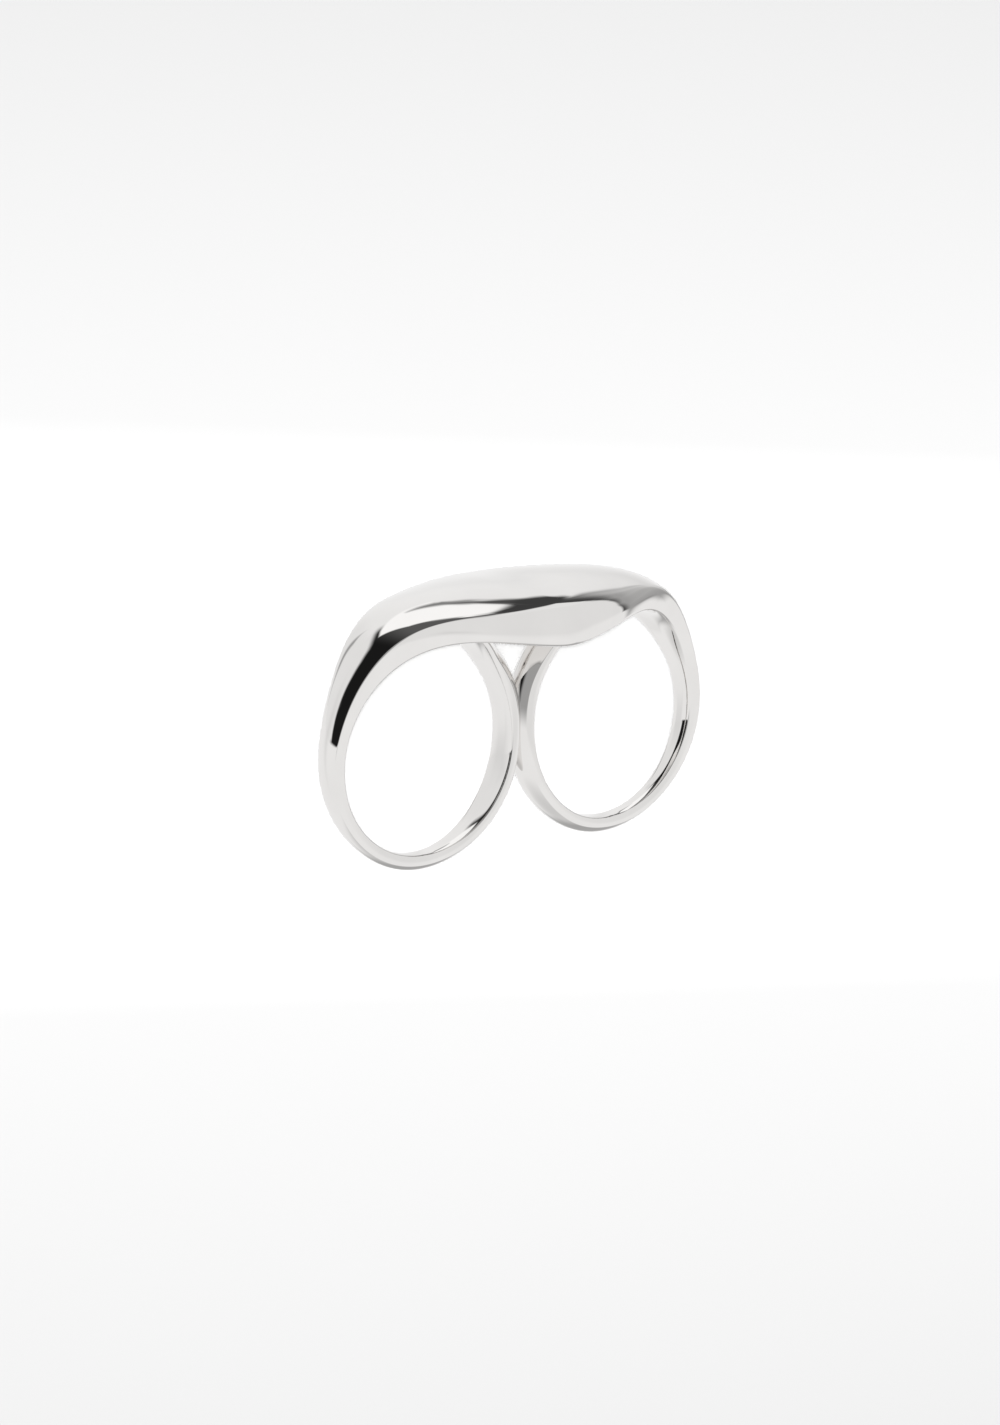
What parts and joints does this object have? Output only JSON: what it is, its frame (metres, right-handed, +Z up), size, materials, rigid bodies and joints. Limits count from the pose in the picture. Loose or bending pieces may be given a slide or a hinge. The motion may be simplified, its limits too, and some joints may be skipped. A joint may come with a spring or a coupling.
{
  "type": "double ring",
  "caption": "Two-finger ring: a broad, softly ridged bridge over slim finger loops that join side by side, polished all over.",
  "frame": {"origin": "centre of the footprint of the ring as it lies on its back, on the surface it rests on", "axes": "+X across the two fingers, +Y from the loops' feet to the bridge, +Z up; the fingers run along +Z leaned 21.1 degrees towards -Y"},
  "size_m": [0.0412, 0.0244, 0.0163],
  "materials": {
    "polished_silver": "mirror-polished silver"
  },
  "bodies": {
    "root": {"double_ring": "polished_silver"}
  },
  "joints": []
}
